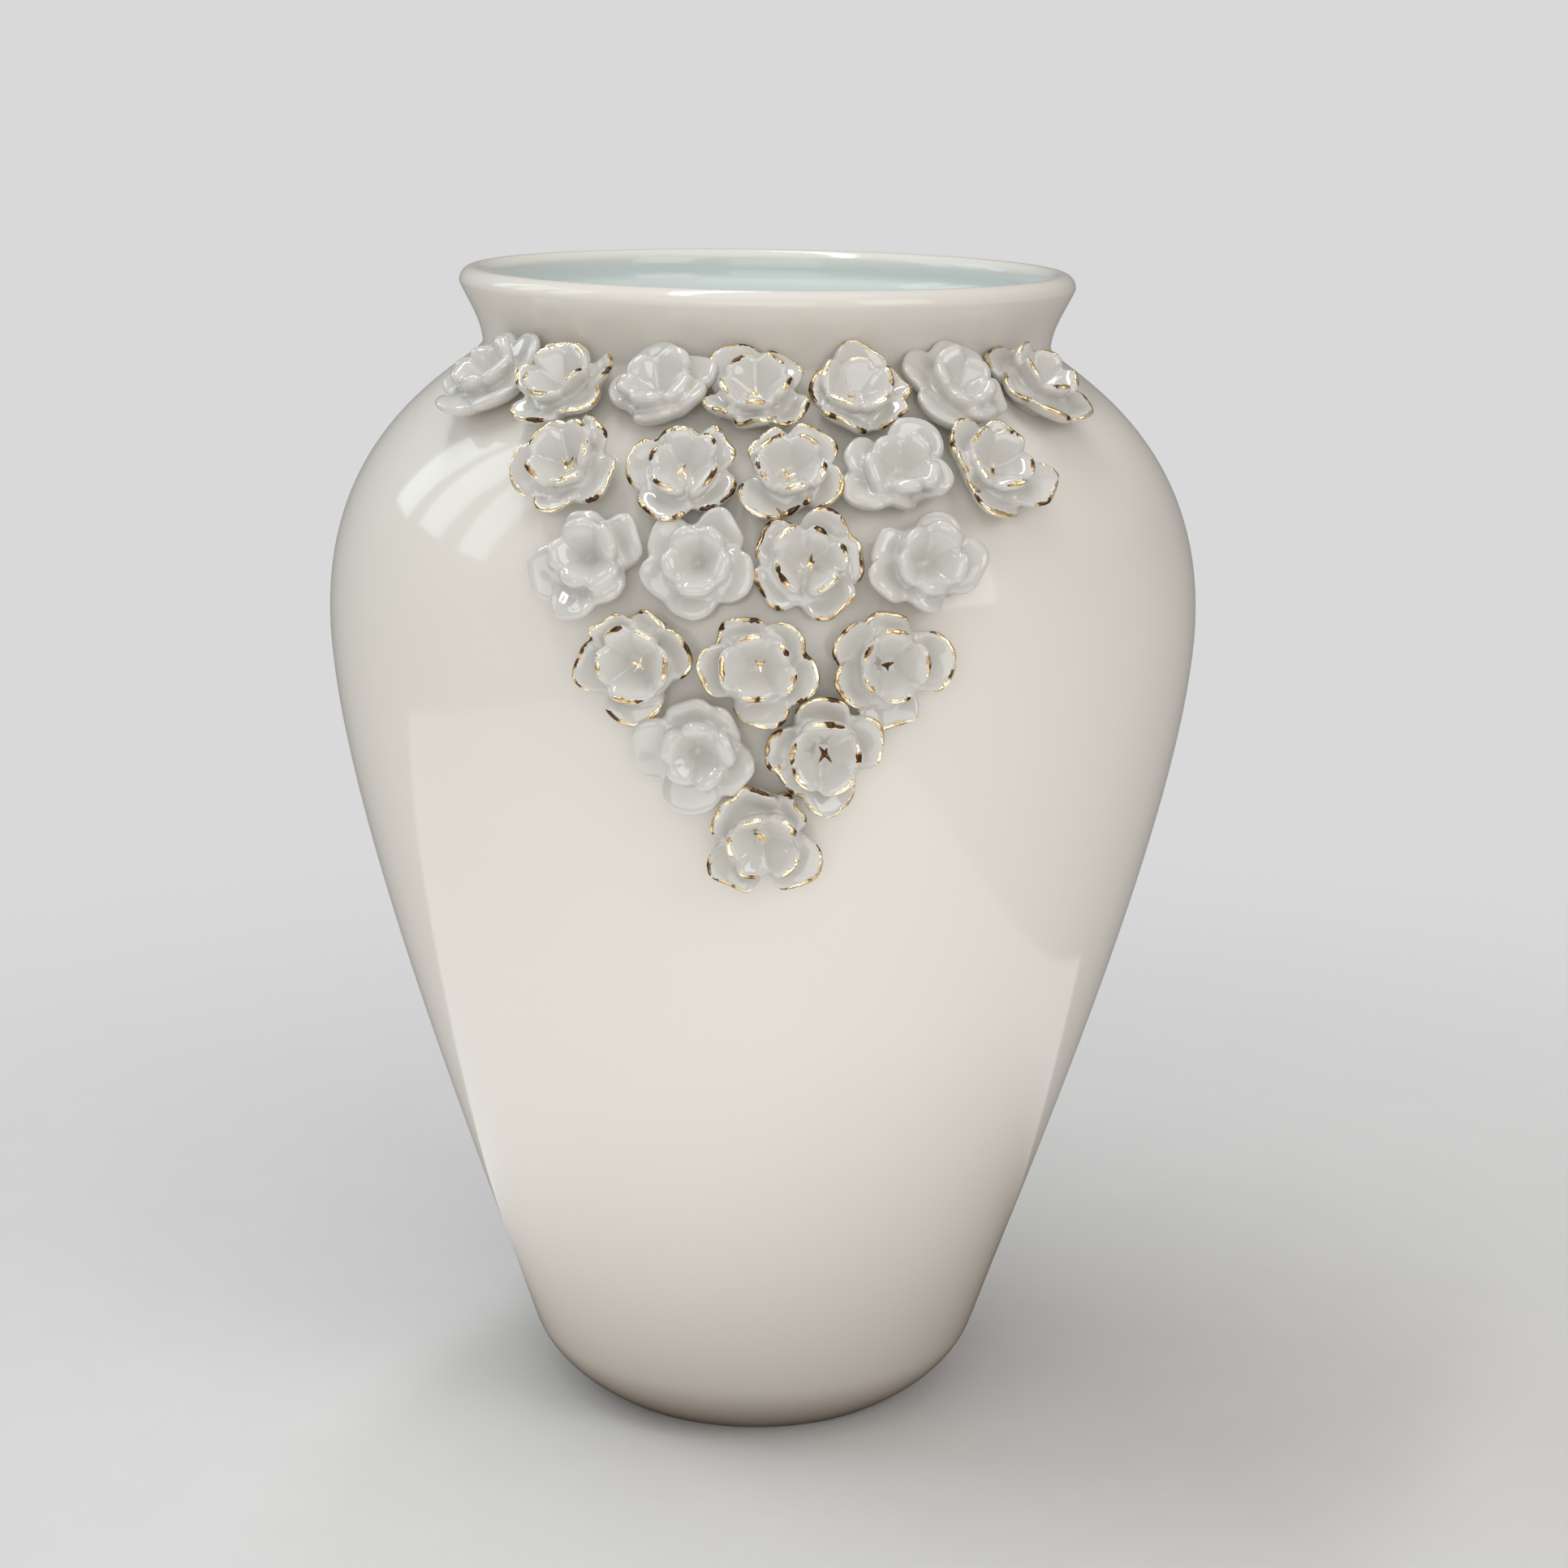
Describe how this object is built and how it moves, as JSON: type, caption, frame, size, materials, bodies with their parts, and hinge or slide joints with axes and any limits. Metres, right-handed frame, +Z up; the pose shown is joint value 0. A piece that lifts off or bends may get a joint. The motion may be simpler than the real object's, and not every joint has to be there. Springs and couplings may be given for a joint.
{
  "type": "vase",
  "caption": "Porcelain vase with a swelling shoulder, a short neck and a rolled lip, its front shoulder covered by a pointed spray of applied flowers, some edged with gold.",
  "frame": {"origin": "centre of the flat base, on the axis of the vase, at the level it stands on", "axes": "+Z up along the axis of the vase; the flowers face -Y; +X is to the right of someone facing the flowers"},
  "size_m": [0.2246, 0.2356, 0.3],
  "materials": {
    "body_glaze": "gloss",
    "flower_glaze": "gloss",
    "gilding": "polished"
  },
  "bodies": {
    "root": {"vase_body": "body_glaze", "flower_1_1_corolla": "flower_glaze", "flower_1_1_cup": "flower_glaze", "flower_1_2_corolla": "flower_glaze", "flower_1_2_cup": "flower_glaze", "flower_1_3_corolla": "flower_glaze", "flower_1_3_cup": "flower_glaze", "flower_1_4_corolla": "flower_glaze", "flower_1_4_cup": "flower_glaze", "flower_1_5_corolla": "flower_glaze", "flower_1_5_cup": "flower_glaze", "flower_1_6_corolla": "flower_glaze", "flower_1_6_cup": "flower_glaze", "flower_1_7_corolla": "flower_glaze", "flower_1_7_cup": "flower_glaze", "flower_2_1_corolla": "flower_glaze", "flower_2_1_cup": "flower_glaze", "flower_2_2_corolla": "flower_glaze", "flower_2_2_cup": "flower_glaze", "flower_2_3_corolla": "flower_glaze", "flower_2_3_cup": "flower_glaze", "flower_2_4_corolla": "flower_glaze", "flower_2_4_cup": "flower_glaze", "flower_2_5_corolla": "flower_glaze", "flower_2_5_cup": "flower_glaze", "flower_3_1_corolla": "flower_glaze", "flower_3_1_cup": "flower_glaze", "flower_3_2_corolla": "flower_glaze", "flower_3_2_cup": "flower_glaze", "flower_3_3_corolla": "flower_glaze", "flower_3_3_cup": "flower_glaze", "flower_3_4_corolla": "flower_glaze", "flower_3_4_cup": "flower_glaze", "flower_4_1_corolla": "flower_glaze", "flower_4_1_cup": "flower_glaze", "flower_4_2_corolla": "flower_glaze", "flower_4_2_cup": "flower_glaze", "flower_4_3_corolla": "flower_glaze", "flower_4_3_cup": "flower_glaze", "flower_5_1_corolla": "flower_glaze", "flower_5_1_cup": "flower_glaze", "flower_5_2_corolla": "flower_glaze", "flower_5_2_cup": "flower_glaze", "flower_6_1_corolla": "flower_glaze", "flower_6_1_cup": "flower_glaze"}
  },
  "joints": []
}
